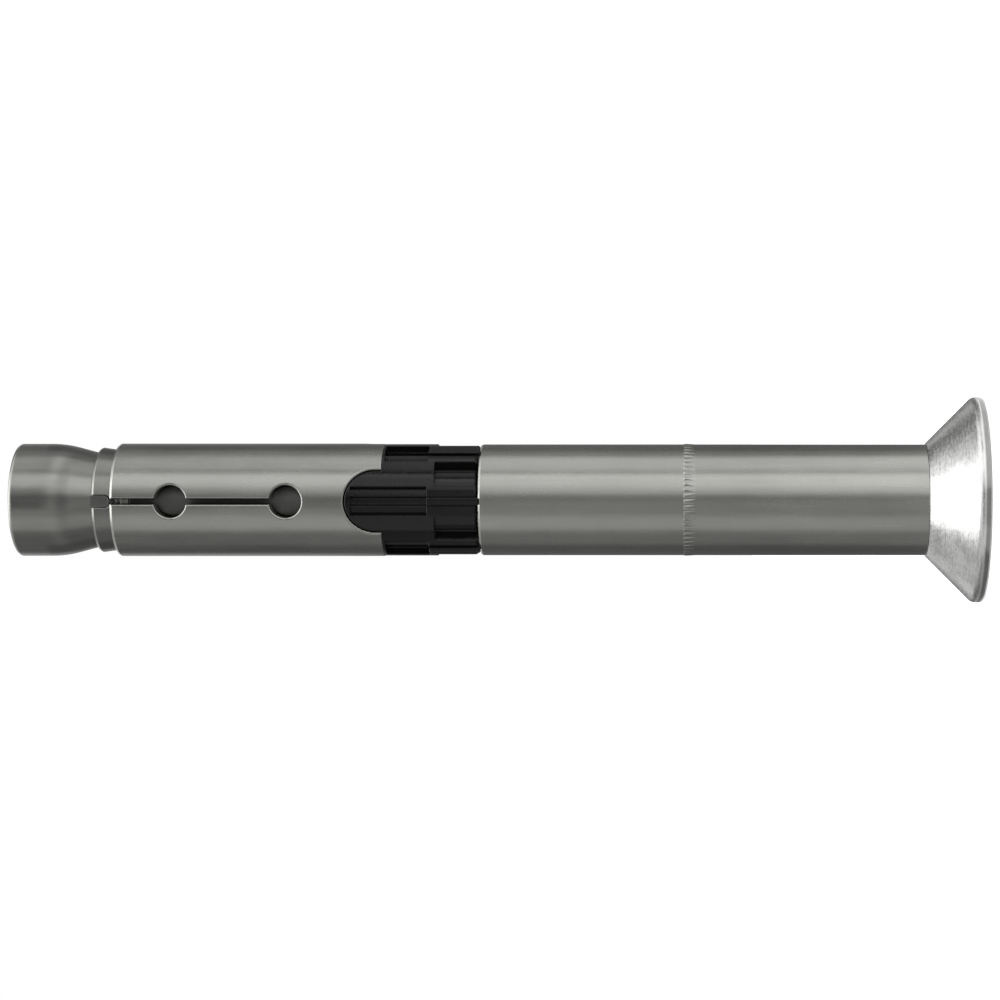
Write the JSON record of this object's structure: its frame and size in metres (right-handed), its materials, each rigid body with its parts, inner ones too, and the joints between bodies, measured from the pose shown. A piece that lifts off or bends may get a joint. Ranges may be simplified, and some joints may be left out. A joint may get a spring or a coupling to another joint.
{
  "type": "heavy-duty sleeve anchor",
  "caption": "Heavy-duty expansion sleeve anchor with a countersunk head, a spacer sleeve, a plastic crush collar, a slotted expansion sleeve and a cone nut.",
  "frame": {"origin": "centre of the head's flat face, which the anchor stands on", "axes": "+Z along the screw from the head to the cone nut's end, -Y through one row of slots, relief holes and keys"},
  "size_m": [0.0324, 0.0324, 0.1517],
  "materials": {
    "screw_steel": "cold-headed stainless steel, satin",
    "turned_steel": "turned stainless steel, bright with fine turning marks",
    "sleeve_steel": "drawn stainless steel, satin grey",
    "cone_steel": "machined stainless steel, satin grey",
    "black_plastic": "moulded, semi-matt"
  },
  "bodies": {
    "sleeves": {"conical_washer": "turned_steel", "spacer_sleeve": "sleeve_steel", "crush_collar": "black_plastic", "expansion_sleeve": "sleeve_steel"},
    "screw": {"countersunk_screw": "screw_steel"},
    "cone": {"cone_nut": "cone_steel"}
  },
  "joints": [
    {"name": "screw_turn", "type": "hinge", "parent": "sleeves", "child": "screw", "pos_m": [0, 0, 0], "axis": [0, 0, -1], "range_deg": [0, 540]},
    {"name": "cone_travel", "type": "slide", "parent": "sleeves", "child": "cone", "axis": [0, 0, 1], "range_m": [0, 0.00263]}
  ],
  "couplings": [
    {"joint": "cone_travel", "follows": "screw_turn", "m_per_rad": 0.00027852}
  ]
}
